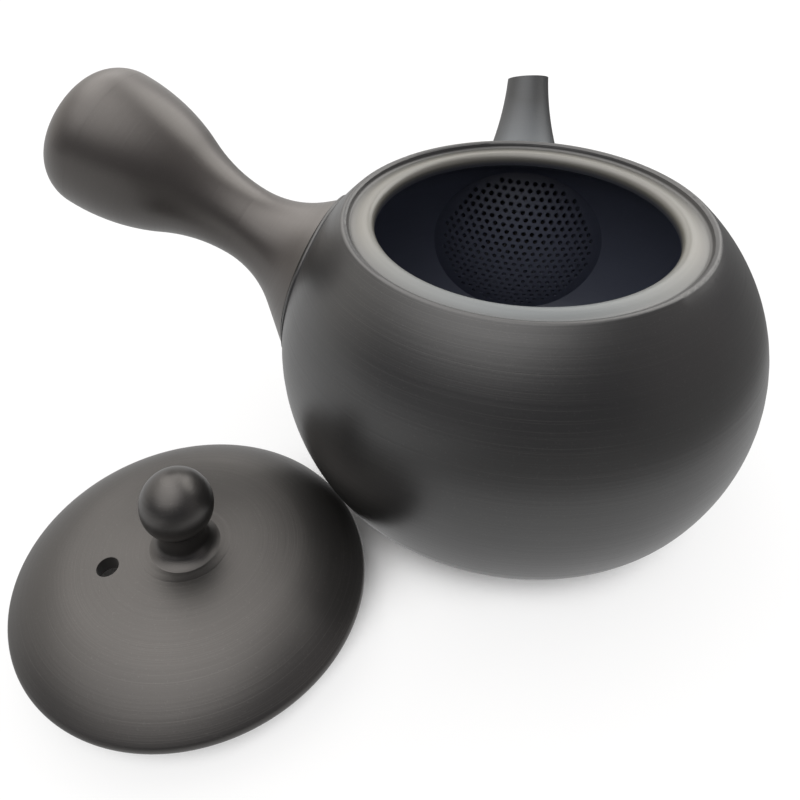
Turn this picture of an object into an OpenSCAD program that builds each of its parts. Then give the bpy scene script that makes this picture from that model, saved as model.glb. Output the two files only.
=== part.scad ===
// Side-handled teapot of dark unglazed clay, with its lid taken off and set down beside it.
// Millimetres, +Z up, spout towards +Y, origin at the centre of the foot on the table.

/* [Body] */
// Greatest diameter of the belly
body_d = 104; // [98:1:112]
// Height of the greatest diameter above the table
belly_z = 31.7; // [29.5:0.1:34]
// Radius of the curve that turns the belly in to the foot
heel_curve_r = 21; // [18:1:23]
// Thickness of the thrown wall
wall_t = 3; // [2.4:0.1:3.6]
// Diameter of the turned foot
foot_d = 54; // [48:1:56]
// Height of the turned foot
foot_h = 1; // [0.6:0.1:1.6]

/* [Mouth] */
// Diameter of the shoulder where the lip's rounding starts
lip_d = 77.2; // [75:0.2:80]
// Height of the lip above the table
lip_z = 64.8; // [62:0.2:67]
// Radius of the rounded lip
lip_bead_r = 1; // [0.8:0.1:1.2]
// Radius of the hollow between the lip and the ledge
lip_hollow_r = 0.6; // [0.4:0.1:1]
// Depth of the lid's ledge below the lip
ledge_drop = 0.5; // [0.4:0.1:1]
// Thickness of the ledge at the mouth's edge
ledge_t = 3; // [2.6:0.1:3.4]
// Slope of the ledge's underside
ledge_slope = 28; // [20:1:35]
// Inner diameter of the mouth
mouth_d = 61.6; // [58:0.2:63]
// Radius of the mouth's rounded inner edge
mouth_edge_r = 2.2; // [1.4:0.1:2.4]

/* [Spout] */
// Distance of the spout's tip from the pot's axis
spout_reach = 72.8; // [68:0.1:77]
// Height of the spout's tip above the table
spout_tip_z = 68.1; // [65:0.1:71]
// Angle of the spout above the horizontal
spout_tilt = 45; // [42:1:50]
// Outer diameter at the tip
spout_tip_d = 10.9; // [10:0.1:12.6]
// Outer diameter of the flared root
spout_root_d = 29.3; // [26:0.1:31]
// Distance from the tip back to the root, measured along the spout
spout_flare_len = 36.4; // [33:0.2:39]
// Radius of the hollow curve along the spout's side
spout_curve_r = 91; // [75:1:140]
// Thickness of the spout's wall
spout_wall_t = 2; // [1.6:0.1:2.4]
// Angle of the tip's slanting cut away from a square one
spout_cut = 18; // [8:1:22]
// Turn of the slanting cut about the spout's axis
spout_cut_turn = -15; // [-20:1:20]
// Diameter of the opening through the pot's wall into the spout
spout_port_d = 18; // [14:0.5:20]
// Height of that opening's centre above the table
spout_port_z = 38; // [36:0.5:40]

/* [Strainer] */
// Height of the strainer's centre above the table
strainer_z = 33; // [31.5:0.5:34.5]
// Height of the dome's crown above the wall inside the belly
strainer_stand = 11.7; // [10.5:0.1:13]
// Radius of the dome
strainer_dome_r = 42; // [39:1:46]
// Thickness of the dome
strainer_t = 1.8; // [1.4:0.1:2.2]
// Diameter of one pierced hole
hole_d = 1.2; // [1:0.05:1.4]
// Spacing of the pierced holes
hole_pitch = 2.2; // [2.1:0.1:3]
// Radius of the pierced field, measured over the dome
field_r = 20.4; // [16:0.2:20.6]
// Turn of the rows of holes away from level
field_turn = 4; // [0:1:15]

/* [Handle] */
// Angle from the spout round to the handle
handle_turn = 80.5; // [74:0.5:92]
// Angle of the handle above the horizontal
handle_tilt = 26; // [20:1:30]
// Height at which the handle's axis crosses the pot's axis
handle_axis_z = 21.2; // [19:0.2:24]
// Distance of the handle's end from the pot's axis, measured along the handle
handle_end = 121.3; // [113:0.1:130]
// Distance of the neck from the pot's axis, measured along the handle
neck_at = 71.6; // [69:0.2:75]
// Diameter of the neck
neck_d = 17.5; // [16:0.1:19.5]
// Diameter of the butt
butt_d = 35; // [31:0.2:38]
// Diameter of the flared root that is luted to the pot
handle_root_d = 42; // [38:0.5:44]
// Angle of the flare away from the handle's axis
flare_angle = 39.7; // [35:0.1:43]
// Radius of the hollow curve from the neck to the flare
flare_curve_r = 22; // [18:1:24]
// Radius of the hollow curve from the neck to the butt
waist_curve_r = 37; // [30:1:42]
// Radius of the swelling curve along the butt
butt_curve_r = 47.8; // [42:0.2:54]
// Radius of the butt's rounded end edge
butt_edge_r = 10.6; // [9:0.1:12]
// Bulge of the butt's end
butt_bulge = 0.8; // [0.4:0.1:1.2]
// Thickness of the handle's wall
handle_wall_t = 3; // [2.4:0.1:3.6]
// Diameter of the handle's hollow where its taper starts inside the pot
handle_bore_d = 24; // [18:0.5:28]
// Diameter of the firing vent in the middle of the butt
handle_vent_d = 3; // [2:0.5:5]
// Width of the seam's groove between the root and the pot
seam_w = 0.5; // [0.3:0.1:0.8]
// Depth of the seam's groove
seam_depth = 1.2; // [0.8:0.1:2]

/* [Lid] */
// Width of the ledge's ring left bare around the lid
lid_margin_w = 1.2; // [0.8:0.1:2]
// Thickness of the lid at its edge
lid_edge_t = 3; // [2.4:0.1:3.6]
// Height of the dome above the lid's edge
lid_dome_h = 7.5; // [6:0.1:9]
// Thickness of the dome
lid_t = 3.2; // [2.6:0.1:3.8]
// Depth of the locating flange below the lid's edge
flange_h = 5.9; // [5:0.1:8]
// Thickness of the locating flange
flange_t = 3; // [2.4:0.1:3.6]
// Clearance of the locating flange inside the mouth
flange_gap = 0.6; // [0.3:0.1:1]
// Diameter of the vent hole
vent_d = 4.2; // [3:0.1:5]
// Distance of the vent hole from the lid's axis
vent_at = 14.8; // [12:0.2:18]
// Direction of the vent hole, counted from +X
vent_turn = 209; // [0:1:359]
// Gap between the lid's edge and the pot where the lid is set down
lid_gap = 0.5; // [0.4:0.1:3]
// Gap between the flange and the table, so that the lid hangs on its stop
lid_floor_gap = 0.5; // [0.3:0.1:1]
// Direction in which the lid stands, counted from +X
lid_turn = 221.3; // [200:0.1:240]

/* [Knob] */
// Diameter of the knob's ball
ball_d = 13.9; // [12:0.1:16]
// Height of the ball's centre above the dome
ball_z = 10.9; // [10:0.1:13]
// Diameter of the knob's neck
knob_neck_d = 9.4; // [8:0.1:10.4]
// Diameter of the knob's flared base
knob_base_d = 13.2; // [11:0.1:14]

/* [Hidden] */
$fn = 96;
clay = [0.25, 0.24, 0.23];
lid_clay = [0.28, 0.27, 0.26];
// Overrun of a cutting solid past the face that it cuts
over = 1;

// Pot's outline: the belly's arc up to the lip, and the heel's arc tangent to it down to the foot
body_r = body_d / 2;
lip_r = lip_d / 2;
mouth_r = mouth_d / 2;
lip_bead_z = lip_z - lip_bead_r;
shoulder_run = body_r - lip_r;
shoulder_climb = lip_bead_z - belly_z;
belly_curve_r = (shoulder_run ^ 2 + shoulder_climb ^ 2) / (2 * shoulder_run);
heel_z = foot_h + heel_curve_r;
heel_angle = asin((belly_z - heel_z) / (belly_curve_r - heel_curve_r));
heel_x = body_r - belly_curve_r + (belly_curve_r - heel_curve_r) * cos(heel_angle);
// Lip: a bead tangent to the shoulder, and a hollow tangent to the bead and the ledge
lip_reach = belly_curve_r - lip_bead_r;
lip_bead_x = body_r - belly_curve_r + sqrt(lip_reach ^ 2 - shoulder_climb ^ 2);
belly_top_z = belly_z + shoulder_climb * belly_curve_r / lip_reach;
ledge_z = lip_z - ledge_drop;
ledge_r = lip_bead_x - sqrt(2 * (lip_bead_r + lip_hollow_r) * ledge_drop - ledge_drop ^ 2);
ledge_under_z = ledge_z - ledge_t;

// Spout's side: one arc through the tip and the root
spout_tip_r = spout_tip_d / 2;
spout_root_r = spout_root_d / 2;
spout_side = [spout_root_r - spout_tip_r, -spout_flare_len];
spout_side_len = norm(spout_side);
spout_side_sag = sqrt(spout_curve_r ^ 2 - spout_side_len ^ 2 / 4);
spout_curve_at = [spout_tip_r, 0] + spout_side / 2
    + spout_side_sag * [spout_flare_len, spout_side[0]] / spout_side_len;
// Distance of the strainer's crown from the pot's axis
strainer_crown_y = body_r - wall_t - strainer_stand;
// Depth below the tip at which the root ends, well inside the pot
spout_depth = spout_reach - strainer_crown_y / 2;

// Handle's side: five arcs along its axis, each tangent to the next
neck_r = neck_d / 2;
handle_root_r = handle_root_d / 2;
// Distance along the axis at which the root ends, well inside the pot
handle_root_s = lip_r;
butt_r = butt_d / 2;
flare_at = [neck_r + flare_curve_r, neck_at];
waist_at = [neck_r + waist_curve_r, neck_at];
waist_reach = waist_curve_r + butt_curve_r;
butt_at = [butt_r - butt_curve_r, neck_at + sqrt(waist_reach ^ 2 - (waist_reach - butt_r + neck_r) ^ 2)];
edge_reach = butt_curve_r - butt_edge_r;
edge_s = handle_end - butt_bulge - butt_edge_r;
edge_at = [butt_at[0] + sqrt(edge_reach ^ 2 - (edge_s - butt_at[1]) ^ 2), edge_s];
cap_drop = butt_bulge + butt_edge_r;
cap_r = (cap_drop ^ 2 + edge_at[0] ^ 2 - butt_edge_r ^ 2) / (2 * butt_bulge);
cap_at = [0, handle_end - cap_r];

// Lid's section, with the dome tangent to the rounded edge
flange_r = mouth_r - flange_gap;
lid_r = ledge_r - lid_margin_w;
lid_edge_r = lid_edge_t / 2;
dome_run = lid_r - lid_edge_r;
crown_z = flange_h + lid_edge_t + lid_dome_h;
dome_r = (dome_run ^ 2 + (lid_dome_h + lid_edge_r) ^ 2 - lid_edge_r ^ 2) / (2 * lid_dome_h);
dome_centre_z = crown_z - dome_r;
edge_centre = [dome_run, flange_h + lid_edge_r];
// Distance of the lid's axis from the pot's axis, with the lid's edge beside the heel
lid_edge_drop = heel_z - lid_floor_gap - edge_centre[1];
lid_away = heel_x + sqrt((heel_curve_r + lid_edge_r + lid_gap) ^ 2 - lid_edge_drop ^ 2) + dome_run;

// Knob's section
ball_r = ball_d / 2;
knob_neck_r = knob_neck_d / 2;
knob_base_r = knob_base_d / 2;
// Height at which the knob's flared base runs out on the dome
knob_base_z = dome_centre_z + sqrt(dome_r ^ 2 - knob_base_r ^ 2);

// Point at a distance along the line from one centre to another
function towards(from, to, distance) = from + distance * (to - from) / norm(to - from);

// Round face whose outline starts on its side towards the axis
module disc(centre, radius) {
    translate(centre) rotate(180) circle(radius);
}

// Half section of the pot's outside, or of its wall's inside when drawn in by inset
module pot_outline(inset) {
    heel_top_z = belly_z - (belly_curve_r - inset) * sin(heel_angle);
    base_z = foot_h + inset;
    intersection() {
        disc([body_r - belly_curve_r, belly_z], belly_curve_r - inset);
        translate([0, heel_top_z]) square([body_r + over, belly_top_z - heel_top_z]);
    }
    intersection() {
        disc([heel_x, heel_z], heel_curve_r - inset);
        translate([heel_x, base_z - over]) square([body_r, heel_top_z - base_z + over]);
    }
    translate([0, base_z]) square([heel_x, heel_top_z - base_z]);
}

module pot_solid(inset) {
    rotate_extrude() pot_outline(inset);
}

// Half section of the hollow inside the pot, up to the ledge's sloping underside
module hollow_outline() {
    slope_drop = (body_r - mouth_r) * tan(ledge_slope);
    intersection() {
        pot_outline(wall_t);
        polygon([
            [0, 0],
            [body_r, 0],
            [body_r, ledge_under_z - slope_drop],
            [mouth_r, ledge_under_z],
            [0, ledge_under_z]
        ]);
    }
}

// Ring of the lip's bead and hollow and the flat ledge inside them, with its inner edge rounded
module rim_outline() {
    bead_at = [lip_bead_x, lip_bead_z];
    hollow_at = [ledge_r, ledge_z + lip_hollow_r];
    translate(bead_at) circle(lip_bead_r);
    difference() {
        polygon([
            [ledge_r, ledge_under_z],
            [lip_bead_x, ledge_under_z],
            bead_at,
            towards(bead_at, hollow_at, lip_bead_r),
            hollow_at
        ]);
        translate(hollow_at) circle(lip_hollow_r);
    }
    difference() {
        translate([mouth_r, ledge_under_z]) square([lip_bead_x - mouth_r, ledge_t]);
        difference() {
            translate([mouth_r, ledge_z - mouth_edge_r]) square(mouth_edge_r);
            translate([mouth_r + mouth_edge_r, ledge_z - mouth_edge_r]) circle(mouth_edge_r);
        }
    }
}

module spout_frame() {
    translate([0, spout_reach, spout_tip_z]) rotate([spout_tilt - 90, 0, 0]) children();
}

// Half section of the spout from its root up to its tip, drawn in by inset
module spout_outline(inset) {
    difference() {
        translate([0, -spout_depth]) square([spout_root_r - inset, spout_depth + spout_tip_r]);
        translate(spout_curve_at) circle(spout_curve_r + inset);
    }
}

module handle_frame() {
    translate([0, 0, handle_axis_z]) rotate([0, 90 - handle_tilt, 90 + handle_turn]) children();
}

// Half section of the handle's root, from inside the pot out to the neck, drawn in by inset
module handle_root_outline(inset) {
    flare_end = flare_at - (flare_curve_r + inset) * [cos(flare_angle), sin(flare_angle)];
    root_r = handle_root_r - inset;
    flare_start_s = flare_end[1] - (root_r - flare_end[0]) / tan(flare_angle);
    polygon([
        [0, handle_root_s],
        [root_r, handle_root_s],
        [root_r, flare_start_s],
        flare_end,
        [0, flare_end[1]]
    ]);
    difference() {
        translate([0, flare_end[1]]) square([flare_at[0], neck_at - flare_end[1]]);
        translate(flare_at) circle(flare_curve_r + inset);
    }
}

// Half section of the handle from its neck out to its butt, drawn in by inset
module handle_grip_outline(inset) {
    swell = towards(waist_at, butt_at, waist_curve_r + inset);
    turn = towards(butt_at, edge_at, butt_curve_r - inset);
    close = towards(cap_at, edge_at, cap_r - inset);
    difference() {
        translate([0, neck_at]) square([waist_at[0], swell[1] - neck_at]);
        translate(waist_at) circle(waist_curve_r + inset);
    }
    intersection() {
        disc(butt_at, butt_curve_r - inset);
        translate([0, swell[1]]) square([butt_r + over, turn[1] - swell[1]]);
    }
    intersection() {
        disc(edge_at, butt_edge_r - inset);
        translate([edge_at[0], turn[1]]) square([butt_r, close[1] - turn[1]]);
    }
    translate([0, turn[1]]) square([edge_at[0], (3 * close[1] + handle_end - inset) / 4 - turn[1]]);
    intersection() {
        disc(cap_at, cap_r - inset);
        translate([0, close[1]]) square([close[0] + over, handle_end - close[1] + over]);
    }
}

// Half section of the hollow inside the handle, a taper from the pot to the neck and then along the grip
module handle_hollow_outline() {
    polygon([
        [0, handle_root_s],
        [handle_bore_d / 2, handle_root_s],
        [neck_r - handle_wall_t, neck_at],
        [0, neck_at]
    ]);
    handle_grip_outline(handle_wall_t);
}

module lid_frame() {
    translate([lid_away * cos(lid_turn), lid_away * sin(lid_turn), lid_floor_gap]) children();
}

module lid_dome(inset) {
    translate([0, 0, dome_centre_z]) sphere(dome_r - inset);
}

module body() {
    color(clay) difference() {
        rotate_extrude() {
            difference() {
                union() {
                    pot_outline(0);
                    square([foot_d / 2, foot_h + wall_t]);
                }
                hollow_outline();
                translate([0, ledge_under_z - over]) square([mouth_r, lip_z]);
                translate([0, ledge_z]) square([lip_bead_x, lip_z]);
            }
            rim_outline();
        }
        translate([0, strainer_crown_y, spout_port_z]) rotate([-90, 0, 0]) cylinder(h = body_r, d = spout_port_d);
    }
}

module spout() {
    color(clay) difference() {
        spout_frame() difference() {
            rotate_extrude() difference() {
                spout_outline(0);
                spout_outline(spout_wall_t);
            }
            rotate([spout_cut, 0, spout_cut_turn]) translate([-body_r, -body_r, 0]) cube(body_d);
        }
        pot_solid(0);
    }
}

module strainer() {
    rows = ceil(field_r / (hole_pitch * sin(60)));
    columns = ceil(field_r / hole_pitch) + rows;
    color(clay) intersection() {
        translate([0, strainer_crown_y + strainer_dome_r, strainer_z]) rotate([90, 0, 0]) difference() {
            sphere(strainer_dome_r);
            sphere(strainer_dome_r - strainer_t);
            for (row = [-rows : rows], column = [-columns : columns]) {
                spot = hole_pitch * [column + row * cos(60), row * sin(60)];
                if (norm(spot) <= field_r) {
                    lean = norm(spot) / strainer_dome_r * 180 / PI;
                    rotate([0, lean, atan2(spot[1], spot[0]) - field_turn])
                        translate([0, 0, strainer_dome_r - strainer_t - over])
                            cylinder(h = strainer_t + 2 * over, d = hole_d);
                }
            }
        }
        rotate_extrude() hollow_outline();
    }
}

module handle() {
    color(clay) difference() {
        handle_frame() difference() {
            rotate_extrude() difference() {
                union() {
                    handle_root_outline(0);
                    handle_grip_outline(0);
                }
                handle_hollow_outline();
            }
            translate([0, 0, handle_end - butt_edge_r]) cylinder(h = 2 * butt_edge_r, d = handle_vent_d);
        }
        pot_solid(0);
        difference() {
            pot_solid(-seam_w);
            handle_frame() rotate_extrude() handle_root_outline(seam_depth);
        }
    }
}

// Half section of the lid's dome, edge and flange, before it is hollowed
module lid_outline() {
    dome_centre = [0, dome_centre_z];
    translate([0, flange_h]) square([dome_run, lid_edge_t]);
    translate(edge_centre) circle(lid_edge_r);
    square([flange_r, flange_h + lid_edge_r]);
    intersection() {
        disc(dome_centre, dome_r);
        polygon([
            [0, edge_centre[1]],
            edge_centre,
            towards(dome_centre, edge_centre, dome_r + over),
            [0, crown_z + over]
        ]);
    }
}

module lid() {
    color(lid_clay) lid_frame() difference() {
        rotate_extrude() lid_outline();
        intersection() {
            lid_dome(lid_t);
            translate([0, 0, -over]) cylinder(h = crown_z, r = flange_r - flange_t);
        }
        rotate(vent_turn) translate([vent_at, 0, 0]) cylinder(h = crown_z, d = vent_d);
    }
}

module lid_knob() {
    neck_curve_r = knob_base_r - knob_neck_r;
    color(lid_clay) lid_frame() difference() {
        translate([0, 0, knob_base_z]) rotate_extrude() {
            ball_at = crown_z + ball_z - knob_base_z;
            intersection() {
                translate([0, ball_at]) circle(ball_r);
                translate([0, ball_at - ball_r]) square(ball_d);
            }
            translate([0, neck_curve_r]) square([knob_neck_r, ball_at - neck_curve_r]);
            difference() {
                translate([0, -over]) square([knob_base_r, over + neck_curve_r]);
                translate([knob_base_r, neck_curve_r]) circle(neck_curve_r);
            }
        }
        lid_dome(0);
    }
}

body();
spout();
strainer();
handle();
lid();
lid_knob();
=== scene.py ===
import math
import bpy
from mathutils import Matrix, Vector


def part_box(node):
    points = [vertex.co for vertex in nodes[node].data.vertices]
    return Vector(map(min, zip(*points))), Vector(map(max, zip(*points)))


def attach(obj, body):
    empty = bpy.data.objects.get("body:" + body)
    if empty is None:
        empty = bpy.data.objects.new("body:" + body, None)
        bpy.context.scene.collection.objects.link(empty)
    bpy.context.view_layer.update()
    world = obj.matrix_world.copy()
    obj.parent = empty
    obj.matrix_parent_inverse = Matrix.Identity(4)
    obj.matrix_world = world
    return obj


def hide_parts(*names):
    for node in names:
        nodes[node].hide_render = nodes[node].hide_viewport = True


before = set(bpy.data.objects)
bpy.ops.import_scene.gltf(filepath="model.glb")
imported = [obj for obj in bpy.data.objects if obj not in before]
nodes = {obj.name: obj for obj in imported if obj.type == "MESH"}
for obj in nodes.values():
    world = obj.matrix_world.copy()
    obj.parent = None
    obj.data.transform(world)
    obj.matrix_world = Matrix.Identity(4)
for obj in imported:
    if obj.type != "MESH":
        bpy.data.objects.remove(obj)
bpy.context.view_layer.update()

from types import SimpleNamespace

import bmesh
import bpy
from mathutils import Matrix, Vector

scene = bpy.context.scene

# All lengths are in metres, in the frame of the part: +Z up along the pot's axis, +Y towards the spout
ORIGIN = (0, 0, 0)
UPRIGHT = (0, 0, 1)
LEVEL = (1, 1, 0)

# Camera: where the photo was taken from. The photo is an off-centre crop, so the camera has a shift
CAMERA_AT = (-0.005059, -0.14708, 0.144149)
CAMERA_FORWARD = (-0.16623, 0.82475, -0.54051)
CAMERA_UP = (-0.07381, 0.53619, 0.84086)
SENSOR_WIDTH, LENS = 36.0, 36.011
SHIFT_X, SHIFT_Y = 0.0503, -0.1600
CLIP_START, CLIP_END = 0.005, 50.0


def place_camera():
    data = bpy.data.cameras.new("camera")
    data.sensor_width, data.lens = SENSOR_WIDTH, LENS
    data.shift_x, data.shift_y = SHIFT_X, SHIFT_Y
    data.clip_start, data.clip_end = CLIP_START, CLIP_END
    camera = bpy.data.objects.new("camera", data)
    scene.collection.objects.link(camera)
    forward = Vector(CAMERA_FORWARD).normalized()
    right = forward.cross(Vector(CAMERA_UP)).normalized()
    up = right.cross(forward)
    turn = Matrix((right, up, -forward)).transposed().to_4x4()
    camera.matrix_world = Matrix.Translation(CAMERA_AT) @ turn
    scene.camera = camera


class Net:
    """A node tree with short ways to add nodes and wires."""

    def __init__(self, tree):
        self.tree = tree
        tree.nodes.clear()

    def add(self, kind, inputs=None, **settings):
        node = self.tree.nodes.new(kind)
        for name, value in settings.items():
            setattr(node, name, value)
        for name, value in (inputs or {}).items():
            self.set(node, name, value)
        return node

    def set(self, node, name, value):
        socket = node.inputs[name]
        if hasattr(value, "is_output"):
            self.tree.links.new(value, socket)
        else:
            socket.default_value = value

    def combine(self, operation, a, b):
        return self.add("ShaderNodeMath", {0: a, 1: b}, operation=operation).outputs[0]

    def plus(self, a, b):
        return self.combine("ADD", a, b)

    def times(self, a, b):
        return self.combine("MULTIPLY", a, b)

    def weigh(self, a, share_a, b, share_b):
        return self.plus(self.times(a, share_a), self.times(b, share_b))

    def vector(self, operation, a, b=ORIGIN, output="Vector"):
        return self.add("ShaderNodeVectorMath", {0: a, 1: b}, operation=operation).outputs[output]

    def dot(self, a, b):
        return self.vector("DOT_PRODUCT", a, b, "Value")

    def length(self, a):
        return self.vector("LENGTH", a, output="Value")

    def scaled(self, colour, share):
        return self.add("ShaderNodeVectorMath", {0: colour, "Scale": share}, operation="SCALE").outputs[0]

    def mix(self, factor, a, b):
        node = self.add("ShaderNodeMix", data_type="RGBA")
        for socket, value in ((0, factor), (6, a), (7, b)):
            self.set(node, socket, value)
        return node.outputs[2]

    def remap(self, value, low, high, to_low=0.0, to_high=1.0, smooth=False):
        return self.add("ShaderNodeMapRange", {
            "Value": value, "From Min": low, "From Max": high, "To Min": to_low, "To Max": to_high,
        }, interpolation_type="SMOOTHSTEP" if smooth else "LINEAR").outputs[0]

    def noise(self, place, scale, detail, roughness=0.5):
        return self.add("ShaderNodeTexNoise", {
            "Vector": place, "Scale": scale, "Detail": detail, "Roughness": roughness,
        }).outputs[0]

    def bands(self, along, scale, detail):
        return self.add("ShaderNodeTexNoise", {"W": self.times(along, scale), "Detail": detail},
                        noise_dimensions="1D").outputs[0]

    def group(self, name, inputs):
        return self.add("ShaderNodeGroup", inputs, node_tree=GROUPS[name]).outputs

    def place(self):
        return self.add("ShaderNodeTexCoord").outputs["Object"]

    def normal(self):
        return self.add("ShaderNodeNewGeometry").outputs["Normal"]


def new_group(name, inputs, outputs):
    tree = bpy.data.node_groups.new(name, "ShaderNodeTree")
    for way, sockets in (("INPUT", inputs), ("OUTPUT", outputs)):
        for label, kind in sockets.items():
            tree.interface.new_socket(label, in_out=way, socket_type="NodeSocket" + kind)
    net = Net(tree)
    return net, net.add("NodeGroupInput").outputs, net.add("NodeGroupOutput")


# Texture scales to the metre, and the span of each noise that is used
GRAIN_FINE, GRAIN_COARSE = 2400.0, 650.0
FINE_SHARE, COARSE_SHARE = 0.55, 0.45
FLECK_SPAN = (0.60, 0.74)
SMOKE_SCALE, SMOKE_SPAN = 24.0, (0.32, 0.68)
LINES_CLOSE, LINES_BROAD = 1500.0, 330.0
CLOSE_SHARE, BROAD_SHARE = 0.35, 0.65
DRIFT_SCALE, DRIFT = 11.0, 0.0016
FADE_SCALE, FADE_SPAN = 30.0, (0.35, 0.6)
STREAK_SPAN = (0.62, 0.74)


def clay_grain_group():
    """Fine grain of unglazed clay: a height for the bump and flecks for the colour."""
    net, given, made = new_group("clay_grain", {"Vector": "Vector"}, {"Height": "Float", "Fleck": "Float"})
    fine = net.noise(given["Vector"], GRAIN_FINE, detail=3.0, roughness=0.6)
    coarse = net.noise(given["Vector"], GRAIN_COARSE, detail=2.0)
    net.set(made, "Height", net.weigh(fine, FINE_SHARE, coarse, COARSE_SHARE))
    net.set(made, "Fleck", net.remap(fine, *FLECK_SPAN))
    return net.tree


def smoke_cloud_group():
    """Broad, soft clouds left by the smoke firing."""
    net, given, made = new_group("smoke_cloud", {"Vector": "Vector"}, {"Cloud": "Float"})
    smoke = net.noise(given["Vector"], SMOKE_SCALE, detail=4.0, roughness=0.55)
    net.set(made, "Cloud", net.remap(smoke, *SMOKE_SPAN))
    return net.tree


def turning_line_group():
    """Faint lines of the potter's turning tool, one after another along the given distance."""
    net, given, made = new_group("turning_lines", {"Along": "Float", "Vector": "Vector"},
                                 {"Height": "Float", "Streak": "Float"})
    drift = net.times(net.noise(given["Vector"], DRIFT_SCALE, detail=2.0), DRIFT)
    along = net.plus(given["Along"], drift)
    close = net.bands(along, LINES_CLOSE, detail=2.0)
    broad = net.bands(along, LINES_BROAD, detail=1.0)
    fade = net.remap(net.noise(given["Vector"], FADE_SCALE, detail=2.0), *FADE_SPAN)
    net.set(made, "Height", net.weigh(close, CLOSE_SHARE, broad, BROAD_SHARE))
    net.set(made, "Streak", net.times(net.remap(close, *STREAK_SPAN), fade))
    return net.tree


GROUPS = {
    "clay_grain": clay_grain_group(),
    "smoke_cloud": smoke_cloud_group(),
    "turning_lines": turning_line_group(),
}

# Clay of the pot and spout, the worn handle and the lid, each from its dark to its light smoke clouds
DARK_CLAY = (0.014, 0.0138, 0.0138, 1)
LIGHT_CLAY = (0.023, 0.0227, 0.0225, 1)
WORN_DARK = (0.047, 0.042, 0.039, 1)
WORN_LIGHT = (0.060, 0.054, 0.050, 1)
LID_DARK = (0.010, 0.0098, 0.0096, 1)
LID_LIGHT = (0.017, 0.0166, 0.0162, 1)
# Paler marks of the turning tool and of the grain
STREAK_COLOUR, STREAK_SHARE = (0.11, 0.106, 0.10, 1), 0.30
FLECK_COLOUR, FLECK_SHARE = (0.15, 0.145, 0.14, 1), 0.16
# Colour of the sheen: neutral on the pot, a little cool on the spout, a little warm on the handle and lid
PLAIN_SHEEN = (1.0, 1.0, 1.0, 1)
COOL_SHEEN = (0.82, 0.85, 0.88, 1)
WARM_SHEEN = (1.0, 0.955, 0.92, 1)
CLAY_IOR, CLAY_SPECULAR = 1.5, 1.0
# Satin roughness, what the clouds and lines change of it, and what single pieces add
ROUGHNESS, CLOUD_ROUGH, LINE_ROUGH = 0.36, 0.025, 0.02
SPOUT_ROUGH, LID_ROUGH, KNOB_ROUGH = 0.14, 0.05, 0.01
LINE_SPAN = (0.3, 0.7)
# Relief of the surface, from grain and lines
GRAIN_RELIEF, LINE_RELIEF = 0.45, 0.55
BUMP_STRENGTH, BUMP_DEPTH = 0.25, 0.00012


def clay_material(name, dark, light, sheen, axis_point, axis, rings=False, extra_rough=0.0, detail=None):
    """Satin smoke-fired clay. Its turning lines run round the given axis, one after another along it, or
    outward from it where rings is set. detail adds what one piece alone has."""
    material = bpy.data.materials.new(name)
    material.use_nodes = True
    net = Net(material.node_tree)
    place = net.place()
    offset = net.vector("SUBTRACT", place, axis_point)
    along = net.length(net.vector("CROSS_PRODUCT", offset, axis)) if rings else net.dot(offset, axis)
    grain = net.group("clay_grain", {"Vector": place})
    cloud = net.group("smoke_cloud", {"Vector": place})["Cloud"]
    lines = net.group("turning_lines", {"Along": along, "Vector": place})
    colour = net.mix(cloud, dark, light)
    colour = net.mix(net.times(lines["Streak"], STREAK_SHARE), colour, STREAK_COLOUR)
    colour = net.mix(net.times(grain["Fleck"], FLECK_SHARE), colour, FLECK_COLOUR)
    satin = ROUGHNESS + extra_rough
    rough = net.plus(net.remap(cloud, 0.0, 1.0, satin + CLOUD_ROUGH, satin - CLOUD_ROUGH),
                     net.remap(lines["Height"], *LINE_SPAN, -LINE_ROUGH, LINE_ROUGH))
    surface = SimpleNamespace(place=place, fleck=grain["Fleck"], colour=colour, rough=rough)
    if detail:
        detail(net, surface)
    relief = net.weigh(grain["Height"], GRAIN_RELIEF, lines["Height"], LINE_RELIEF)
    bump = net.add("ShaderNodeBump", {"Strength": BUMP_STRENGTH, "Distance": BUMP_DEPTH, "Height": relief})
    shader = net.add("ShaderNodeBsdfPrincipled", {
        "Base Color": surface.colour, "Roughness": surface.rough, "Normal": bump.outputs[0],
        "IOR": CLAY_IOR, "Specular IOR Level": CLAY_SPECULAR, "Specular Tint": sheen,
    })
    net.add("ShaderNodeOutputMaterial", {"Surface": shader.outputs[0]})
    return material


# Inside of the pot, the faces that look in towards its middle: painted light, a lighter bluish colour where
# the hollow is in shade, a little rougher, with painted shade darker in the neck
INSIDE_PAINTED_LIGHT = (0.080, 0.091, 0.130)
INNER_FLECK, INNER_FLECK_SHARE = (0.2, 0.2, 0.21, 1), 0.2
INNER_ROUGH = 0.18
POT_MIDDLE = (0, 0, 0.034)
INWARD_SPAN = (0.12, -0.25)
HOLLOW_SPAN = (0.0630, 0.0620)
NECK_SHADE_SPAN, NECK_SHADE_SHARE = (0.050, 0.060), 0.25
# Painted highlight on the rim's ledge, from heights and distances off the axis: cream behind and cooler in
# front
RIM_HIGHLIGHT_BEHIND = (0.150, 0.145, 0.126, 1)
RIM_HIGHLIGHT_FRONT = (0.120, 0.136, 0.141, 1)
RIM_HEIGHT_SPAN = (0.0618, 0.0629)
RIM_RADIUS_SPAN = (0.0362, 0.0336)
FORWARD, FORWARD_SPAN = (0, -1, 0), (0.010, 0.034)


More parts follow.
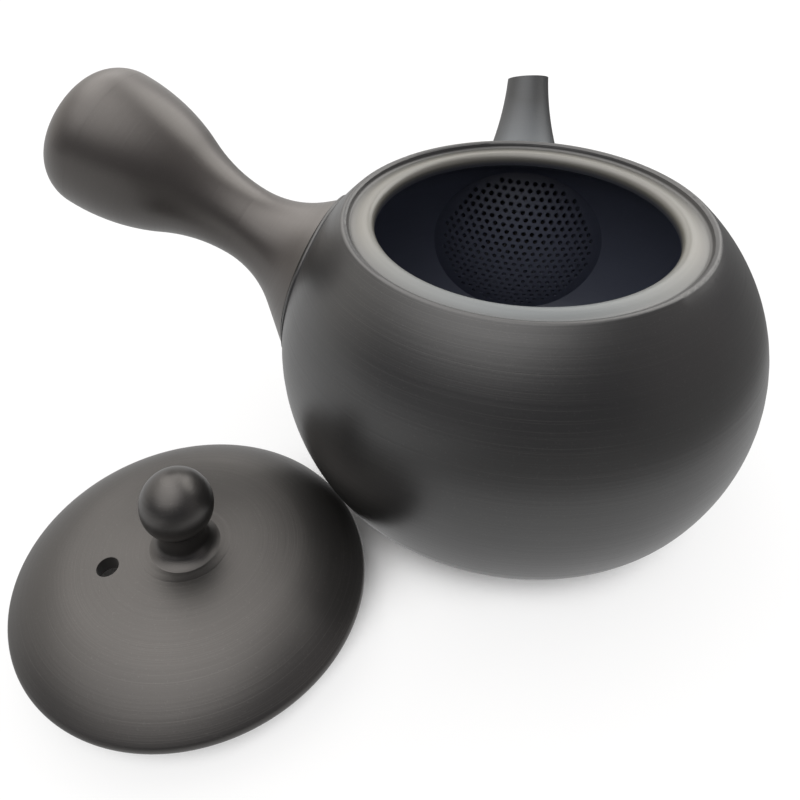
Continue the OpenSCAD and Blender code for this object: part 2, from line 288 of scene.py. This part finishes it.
def inside_and_rim_painted_light(net, surface):
    height = net.dot(surface.place, UPRIGHT)
    # Painted light: the inside gets a lighter bluish colour, with painted shade darker in the neck
    inner = net.scaled(INSIDE_PAINTED_LIGHT, net.remap(height, *NECK_SHADE_SPAN, 1.0, NECK_SHADE_SHARE))
    speckled = net.mix(net.times(surface.fleck, INNER_FLECK_SHARE), inner, INNER_FLECK)
    outward = net.vector("NORMALIZE", net.vector("SUBTRACT", surface.place, POT_MIDDLE))
    facing = net.dot(outward, net.normal())
    hollow = net.times(net.remap(facing, *INWARD_SPAN), net.remap(height, *HOLLOW_SPAN))
    surface.colour = net.mix(hollow, surface.colour, speckled)
    surface.rough = net.plus(surface.rough, net.times(hollow, INNER_ROUGH))
    from_axis = net.length(net.vector("MULTIPLY", surface.place, LEVEL))
    # Painted highlight on the rim's ledge: cream behind and cooler in front
    rim = net.times(net.remap(height, *RIM_HEIGHT_SPAN), net.remap(from_axis, *RIM_RADIUS_SPAN))
    forward = net.remap(net.dot(surface.place, FORWARD), *FORWARD_SPAN)
    surface.colour = net.mix(rim, surface.colour, net.mix(forward, RIM_HIGHLIGHT_BEHIND, RIM_HIGHLIGHT_FRONT))


# Painted light on the spout's foot: paler and bluish low down, on the side that faces up towards the mouth
SPOUT_FOOT_PAINTED_LIGHT = (0.130, 0.142, 0.152, 1)
SPOUT_FOOT_SPAN = (0.066, 0.056)
TOWARDS_MOUTH, TOWARDS_SPAN = (0, -0.7071, 0.7071), (0.35, 0.85)


def spout_foot_painted_light(net, surface):
    low = net.remap(net.dot(surface.place, UPRIGHT), *SPOUT_FOOT_SPAN)
    # Painted light: paler and bluish low on the spout, on faces that look up towards the mouth
    painted_foot_light = net.times(low, net.remap(net.dot(net.normal(), TOWARDS_MOUTH), *TOWARDS_SPAN))
    surface.colour = net.mix(painted_foot_light, surface.colour, SPOUT_FOOT_PAINTED_LIGHT)


# Vent of the lid, at a distance and a turn about the lid's axis, with painted shade on its wall
VENT_R, VENT_AT, VENT_TURN = 0.0021, 0.0148, 209
VENT_SHADE, VENT_SHADE_ROUGH = (0.003, 0.003, 0.003, 1), 0.5
VENT_SHADE_START, VENT_SHADE_FULL = VENT_R + 0.0001, VENT_R + 0.00003


def vent_place():
    """Foot of the vent's axis, from the lid's own axis."""
    turn = math.radians(VENT_TURN)
    return (VENT_AT * math.cos(turn), VENT_AT * math.sin(turn), 0)


def vent_painted_shade(net, surface):
    across = net.vector("MULTIPLY", net.vector("SUBTRACT", surface.place, vent_place()), LEVEL)
    # Painted shade: the vent's wall is darkened and made rougher
    wall_shade = net.remap(net.length(across), VENT_SHADE_START, VENT_SHADE_FULL)
    surface.colour = net.mix(wall_shade, surface.colour, VENT_SHADE)
    surface.rough = net.plus(surface.rough, net.times(wall_shade, VENT_SHADE_ROUGH))


SHARP_ANGLE = 28
MERGE_DISTANCE = 1e-7


def shade_smooth(mesh):
    mesh.polygons.foreach_set("use_smooth", [True] * len(mesh.polygons))
    mesh.set_sharp_from_angle(angle=math.radians(SHARP_ANGLE))


def arc(centre, radius, start, end, steps):
    """Points of an arc from start to end, in degrees from the first axis. radius has a part for each axis."""
    turns = [math.radians(start + (end - start) * i / steps) for i in range(steps + 1)]
    return [(centre[0] + radius[0] * math.cos(t), centre[1] + radius[1] * math.sin(t)) for t in turns]


def round_arc(centre, radius, start, end, steps):
    return arc(centre, (radius, radius), start, end, steps)


def revolve(name, section, steps):
    """Closed mesh of a closed section turned about the z axis."""
    form = bmesh.new()
    rings = []
    for i in range(steps):
        turn = 2 * math.pi * i / steps
        rings.append([form.verts.new((r * math.cos(turn), r * math.sin(turn), z)) for r, z in section])
    for i, ring in enumerate(rings):
        after = rings[(i + 1) % steps]
        for k in range(len(section)):
            step = (k + 1) % len(section)
            if section[k][0] > 0 or section[step][0] > 0:
                form.faces.new((ring[k], after[k], after[step], ring[step]))
    bmesh.ops.remove_doubles(form, verts=form.verts, dist=MERGE_DISTANCE)
    bmesh.ops.recalc_face_normals(form, faces=form.faces)
    mesh = bpy.data.meshes.new(name)
    form.to_mesh(mesh)
    form.free()
    return mesh


def new_piece(name, mesh, place=ORIGIN):
    piece = bpy.data.objects.new(name, mesh)
    scene.collection.objects.link(piece)
    piece.location = place
    return piece


def cut_piece(name, mesh, cutter, place):
    """New piece at a place: the mesh with the cutter's mesh taken away."""
    piece, tool = new_piece(name, mesh), new_piece(name + "_cutter", cutter)
    change = piece.modifiers.new("cut", "BOOLEAN")
    change.operation = "DIFFERENCE"
    change.object = tool
    bpy.context.view_layer.update()
    shown = piece.evaluated_get(bpy.context.evaluated_depsgraph_get())
    piece.data = bpy.data.meshes.new_from_object(shown)
    piece.data.name = name
    piece.modifiers.clear()
    bpy.data.objects.remove(tool)
    bpy.data.meshes.remove(cutter)
    piece.location = place
    return piece


def give_clay(piece, material):
    piece.data.materials.clear()
    piece.data.materials.append(material)
    shade_smooth(piece.data)


def stand_for(piece, node, body, material):
    give_clay(piece, material)
    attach(piece, body)
    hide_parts(node)


def middle_of(name):
    low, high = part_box(name)
    return (Vector(low) + Vector(high)) / 2


# Rim of the pot, outward from the mouth: a rounded edge up to a crest, a slope down to a groove, and the
# bead of the lip, as distances off the axis and heights
MOUTH_R = 0.0308
CREST_R, CREST_Z = 0.0323, 0.06415
EDGE_DOWN = 0.00155
COVE_R, COVE_AT, COVE_END = 0.00075, (0.03547, 0.06425), 345
BEAD_R, BEAD_AT, BEAD_END = 0.0010, (0.03716, 0.0638), 140
RIM_SLACK = 0.00002
# How far the cutter stands over the crest, into the mouth, and in from the bead at its top
CUT_CLEAR, CUT_LEAN = 0.001, 0.0003
SLOPE_STEPS, RIM_STEPS = 12, 256


def shape_rim(material):
    """The body with its rim cut to the crest and the groove that the lid's edge sits in."""
    edge_at = (CREST_R - RIM_SLACK, CREST_Z - EDGE_DOWN)
    rim = arc(edge_at, (CREST_R - MOUTH_R, EDGE_DOWN), 180, 90, steps=16)
    cove_z = COVE_AT[1] - COVE_R
    for i in range(1, SLOPE_STEPS + 1):
        share = i / SLOPE_STEPS
        fall = share * share * (3 - 2 * share)
        rim.append((CREST_R + share * (COVE_AT[0] - CREST_R), CREST_Z + fall * (cove_z - CREST_Z)))
    rim += round_arc(COVE_AT, COVE_R, 270, COVE_END, steps=10)[1:]
    rim += round_arc(BEAD_AT, BEAD_R, COVE_END - 180, BEAD_END, steps=3)[1:]
    above, inward = CREST_Z + CUT_CLEAR, MOUTH_R - CUT_CLEAR
    rim += [(rim[-1][0] - CUT_LEAN, above), (inward, above), (inward, rim[0][1])]
    cutter = revolve("rim_cutter", rim, RIM_STEPS)
    piece = cut_piece("body_with_rim", nodes["body"].data.copy(), cutter, ORIGIN)
    stand_for(piece, "body", "pot", material)
    # Large faces lead the shading, so that slivers beside the bead leave no pale patch on the wall
    even = piece.modifiers.new("even_normals", "WEIGHTED_NORMAL")
    even.keep_sharp = True


# Lid: the dome, its shoulder and the rounded edge, each tangent to the next, with a flange below
LID_SLACK = 0.00003
LID_EDGE_T, LID_T = 0.0030, 0.0032
LID_SHOULDER_R = 0.0220
LID_EDGE_SLOPE = 45
FLANGE_R, FLANGE_H, FLANGE_T = 0.0302, 0.0059, 0.0030
LID_STEPS, VENT_STEPS = 192, 48


def shape_lid(material, lid_at):
    low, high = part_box("lid")
    crown, edge_r = high[2] - low[2], LID_EDGE_T / 2
    lid_r = min(high[0] - low[0], high[1] - low[1]) / 2 - LID_SLACK
    edge = (lid_r - edge_r, FLANGE_H + edge_r)
    lean = math.radians(LID_EDGE_SLOPE)
    reach = LID_SHOULDER_R - edge_r
    shoulder = (edge[0] - reach * math.sin(lean), edge[1] - reach * math.cos(lean))
    climb = crown - shoulder[1]
    dome_r = (shoulder[0] ** 2 + climb ** 2 - LID_SHOULDER_R ** 2) / (2 * (climb - LID_SHOULDER_R))
    dome = (0, crown - dome_r)
    dome_end = 90 - math.degrees(math.asin(shoulder[0] / (dome_r - LID_SHOULDER_R)))
    inner_r, under_r = FLANGE_R - FLANGE_T, dome_r - LID_T
    under_end = 90 - math.degrees(math.asin(inner_r / under_r))
    edge_top = 90 - LID_EDGE_SLOPE
    section = round_arc(dome, dome_r, 90, dome_end, steps=24)
    section[0] = (0, crown)
    section += round_arc(shoulder, LID_SHOULDER_R, dome_end, edge_top, steps=16)[1:]
    section += round_arc(edge, edge_r, edge_top, -90, steps=16)[1:]
    section += [(FLANGE_R, FLANGE_H), (FLANGE_R, 0), (inner_r, 0)]
    section += round_arc(dome, under_r, under_end, 90, steps=16)
    section[-1] = (0, crown - LID_T)
    vent = revolve("vent", [(0, 0), (VENT_R, 0), (VENT_R, 2 * crown), (0, 2 * crown)], VENT_STEPS)
    vent.transform(Matrix.Translation(vent_place()))
    form = revolve("lid_domed", section, LID_STEPS)
    piece = cut_piece("lid_domed", form, vent, (lid_at.x, lid_at.y, low[2]))
    stand_for(piece, "lid", "cover", material)


# Knob: a ball on a neck that flares out softly onto the lid's dome
BALL_R, BALL_END = 0.00695, -46
NECK_R, FLARE_R, FLARE_H = 0.0047, 0.0088, 0.0022
FLARE_TUCK = 0.0005
KNOB_STEPS = 128


def turn_knob(material, lid_at):
    low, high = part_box("lid_knob")
    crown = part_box("lid")[1][2] - low[2]
    ball_z = high[2] - low[2] - BALL_R
    section = round_arc((0, ball_z), BALL_R, 90, BALL_END, steps=40)
    section[0] = (0, ball_z + BALL_R)
    flare_at = (FLARE_R, crown + FLARE_H)
    section += arc(flare_at, (FLARE_R - NECK_R, FLARE_H + FLARE_TUCK), 180, 270, steps=20)
    section += [(FLARE_R, 0), (0, 0)]
    form = revolve("knob_turned", section, KNOB_STEPS)
    piece = new_piece("knob_turned", form, (lid_at.x, lid_at.y, low[2]))
    stand_for(piece, "lid_knob", "cover", material)


# Axes of the handle and spout
HANDLE_ROOT, HANDLE_AXIS = (0, 0, 0.0212), (-0.8865, 0.1483, 0.4384)
SPOUT_TIP, SPOUT_AXIS = (0, 0.0728, 0.0681), (0, 0.7071, 0.7071)
# The handle's flare, along its axis from the root: a straight slope, then a hollow curve
SLOPE_FROM, SLOPE_TO = 0.0489, 0.05755
SLOPE_FOOT_R = 0.0210
CURVE_R, CURVE_AT_R, CURVE_AT = 0.0220, 0.03075, 0.0716
# The pot's wall in two arcs, with their middles as distance off the axis and height
BELLY_AT, BELLY_R = (0.00685, 0.0317), 0.04515
HEEL_AT, HEEL_R = (0.02897, 0.0220), 0.0210
# The seam is sought between these places along the handle's axis
SEEK_FROM, SEEK_TO, SEEK_STEPS = 0.030, 0.075, 40
# The ridge: how far outside the flare it runs, its half height at the top and under the handle, and how much
# wider than high it is. It thickens from a share of its height on
RIDGE_OUT, RIDGE_THICK, RIDGE_THIN, RIDGE_WIDEN = 0.00045, 0.00055, 0.00022, 1.3
THICKEN_FROM, THICKEN_OVER = 0.25, 0.4
RIDGE_STEPS, RIDGE_SIDES = 160, 14


def flare_curve(along):
    return CURVE_AT_R - math.sqrt(max(CURVE_R ** 2 - (along - CURVE_AT) ** 2, 0.0))


def flare_radius(along):
    """Radius of the handle's flare at a distance along its axis."""
    if along >= SLOPE_TO:
        return flare_curve(along)
    end = flare_curve(SLOPE_TO)
    share = (SLOPE_TO - along) / (SLOPE_TO - SLOPE_FROM)
    return end + (SLOPE_FOOT_R - end) * min(share, 1.0)


def pot_wall(point):
    """Distance of a point outside the pot's wall, and the wall's outward direction there."""
    radius = math.hypot(point.x, point.y)
    slope = (BELLY_AT[1] - HEEL_AT[1]) / (BELLY_AT[0] - HEEL_AT[0])
    low = point.z - HEEL_AT[1] < slope * (radius - HEEL_AT[0])
    (centre_r, centre_z), curve = (HEEL_AT, HEEL_R) if low else (BELLY_AT, BELLY_R)
    reach = Vector((radius - centre_r, point.z - centre_z))
    out = reach.normalized()
    return reach.length - curve, Vector((point.x / radius * out.x, point.y / radius * out.x, out.y))


def seam_point(turn):
    """Point of the pot's wall just outside the handle's flare, at an angle about the handle."""
    axis = Vector(HANDLE_AXIS).normalized()
    across = axis.cross(Vector(UPRIGHT)).normalized()
    upward = across.cross(axis)
    lean = across * math.cos(turn) + upward * math.sin(turn)
    inner, outer = SEEK_FROM, SEEK_TO
    for _ in range(SEEK_STEPS):
        along = (inner + outer) / 2
        point = Vector(HANDLE_ROOT) + axis * along + lean * (flare_radius(along) + RIDGE_OUT)
        if pot_wall(point)[0] < 0:
            inner = along
        else:
            outer = along
    return point


def lay_seam_ridge(material):
    """A soft ridge of slip on the pot's side of the handle's seam, thinner under the handle."""
    centres = [seam_point(2 * math.pi * i / RIDGE_STEPS) for i in range(RIDGE_STEPS)]
    top, bottom = max(c.z for c in centres), min(c.z for c in centres)
    points, faces = [], []
    for i, centre in enumerate(centres):
        ahead = (centres[(i + 1) % RIDGE_STEPS] - centres[i - 1]).normalized()
        out = pot_wall(centre)[1]
        side = ahead.cross(out).normalized()
        height = (centre.z - bottom) / (top - bottom)
        grown = min(max((height - THICKEN_FROM) / THICKEN_OVER, 0.0), 1.0)
        radius = RIDGE_THIN + (RIDGE_THICK - RIDGE_THIN) * grown
        for k in range(RIDGE_SIDES):
            turn = 2 * math.pi * k / RIDGE_SIDES
            points.append(centre + radius * (math.cos(turn) * out + RIDGE_WIDEN * math.sin(turn) * side))
    for i in range(RIDGE_STEPS):
        here, there = i * RIDGE_SIDES, (i + 1) % RIDGE_STEPS * RIDGE_SIDES
        for k in range(RIDGE_SIDES):
            after = (k + 1) % RIDGE_SIDES
            faces.append((here + k, here + after, there + after, there + k))
    mesh = bpy.data.meshes.new("seam_ridge")
    mesh.from_pydata(points, [], faces)
    mesh.polygons.foreach_set("use_smooth", [True] * len(faces))
    mesh.materials.append(material)
    ridge = new_piece("seam_ridge", mesh)
    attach(ridge, "pot")


def dress_teapot():
    """Clay for every piece. The new pieces of the lid have their origin on the lid's axis."""
    pot = clay_material("pot_clay", DARK_CLAY, LIGHT_CLAY, PLAIN_SHEEN, ORIGIN, UPRIGHT,
                        detail=inside_and_rim_painted_light)
    spout = clay_material("spout_clay", DARK_CLAY, LIGHT_CLAY, COOL_SHEEN, SPOUT_TIP, SPOUT_AXIS,
                          extra_rough=SPOUT_ROUGH, detail=spout_foot_painted_light)
    grip = clay_material("handle_clay", WORN_DARK, WORN_LIGHT, WARM_SHEEN, HANDLE_ROOT, HANDLE_AXIS)
    lid = clay_material("lid_clay", LID_DARK, LID_LIGHT, WARM_SHEEN, ORIGIN, UPRIGHT,
                        rings=True, extra_rough=LID_ROUGH, detail=vent_painted_shade)
    knob = clay_material("knob_clay", LID_DARK, LID_LIGHT, WARM_SHEEN, ORIGIN, UPRIGHT,
                         extra_rough=KNOB_ROUGH)
    lid_at = middle_of("lid")
    shape_rim(pot)
    lay_seam_ridge(pot)
    shape_lid(lid, lid_at)
    turn_knob(knob, lid_at)
    give_clay(nodes["strainer"], pot)
    give_clay(nodes["spout"], spout)
    give_clay(nodes["handle"], grip)


# Floor: pale to the camera, with painted shade under what stands on it, where ambient occlusion takes the
# white glow away. In the clay's sheen it is pale round the pot and away to the left, and darker beyond, by
# distance from the pot's axis
FLOOR_HALF, FLOOR_Z = 4.0, -0.0002
FLOOR_GREY, FLOOR_PALE = (0.10, 0.10, 0.10, 1), (0.95, 0.95, 0.95, 1)
WHITE = (1, 1, 1, 1)
WHITE_SHARE = 0.82
DARK_START, PALE_END = 0.146, 0.109
LEFT, LEFT_SPAN = (-1, 0, 0), (0.084, 0.101)
DARK_SHARE, PALE_SHARE = 0.18, 0.80
COVER_REACH, COVER_SAMPLES, COVER_SPAN = 0.03, 16, (0.16, 0.42)


def floor_material():
    material = bpy.data.materials.new("pale_floor")
    material.use_nodes = True
    net = Net(material.node_tree)
    path = net.add("ShaderNodeLightPath").outputs
    seen = path["Is Camera Ray"]
    place = net.place()
    near = net.remap(net.length(place), DARK_START, PALE_END, smooth=True)
    left = net.remap(net.dot(place, LEFT), *LEFT_SPAN, smooth=True)
    pale = net.remap(net.combine("MAXIMUM", near, left), 0.0, 1.0, DARK_SHARE, PALE_SHARE)
    # Painted shade: where ambient occlusion finds the floor covered, the camera's white glow is taken away
    cover = net.add("ShaderNodeAmbientOcclusion", {"Distance": COVER_REACH}, samples=COVER_SAMPLES)
    open_floor = net.remap(cover.outputs["AO"], *COVER_SPAN)
    white = net.times(net.times(seen, open_floor), WHITE_SHARE)
    share = net.plus(white, net.times(path["Is Glossy Ray"], pale))
    diffuse = net.add("ShaderNodeBsdfDiffuse", {"Color": net.mix(seen, FLOOR_GREY, FLOOR_PALE)})
    glow = net.add("ShaderNodeEmission", {"Color": WHITE, "Strength": 1.0})
    blend = net.add("ShaderNodeMixShader", {0: share, 1: diffuse.outputs[0], 2: glow.outputs[0]})
    net.add("ShaderNodeOutputMaterial", {"Surface": blend.outputs[0]})
    return material


def lay_floor():
    corners = [(x * FLOOR_HALF, y * FLOOR_HALF, 0) for x, y in ((-1, -1), (1, -1), (1, 1), (-1, 1))]
    mesh = bpy.data.meshes.new("floor")
    mesh.from_pydata(corners, [], [(0, 1, 2, 3)])
    mesh.materials.append(floor_material())
    floor = new_piece("floor", mesh, (0, 0, FLOOR_Z))


# Soft lights all round: direction from +X, height, full and faded half width in degrees, and colour
SOFT_LIGHTS = {
    "above_front": (237, 70, 4, 51, (2.02, 1.98, 1.94)),
    "above_behind": (120, 50, 12, 34, (1.56, 1.52, 1.48)),
    "bright_behind": (51, 37, 20, 28, (2.70, 2.65, 2.55)),
    "low_behind": (89, 20, 20, 32, (0.60, 0.59, 0.57)),
    "left": (145, 20, 15, 62, (0.78, 0.75, 0.70)),
    "straight_above": (180, 88, 2, 22, (0.50, 0.49, 0.47)),
    "right": (355, 10, 5, 40, (0.22, 0.20, 0.19)),
}
ROOM_GREY = (0.105, 0.105, 0.12)


def light_room():
    world = bpy.data.worlds.new("room")
    scene.world = world
    world.use_nodes = True
    net = Net(world.node_tree)
    seen = net.add("ShaderNodeLightPath").outputs["Is Camera Ray"]
    towards = net.vector("NORMALIZE", net.add("ShaderNodeTexCoord").outputs["Generated"])
    room = ROOM_GREY
    for *degrees, colour in SOFT_LIGHTS.values():
        turn, rise, full, faded = map(math.radians, degrees)
        axis = (math.cos(turn) * math.cos(rise), math.sin(turn) * math.cos(rise), math.sin(rise))
        share = net.remap(net.dot(towards, axis), math.cos(faded), math.cos(full), smooth=True)
        room = net.vector("ADD", room, net.scaled(colour, share))
    sky = net.add("ShaderNodeBackground", {"Color": net.mix(seen, room, WHITE), "Strength": 1.0})
    net.add("ShaderNodeOutputWorld", {"Surface": sky.outputs[0]})


place_camera()
dress_teapot()
lay_floor()
light_room()
scene.view_settings.view_transform = "Standard"
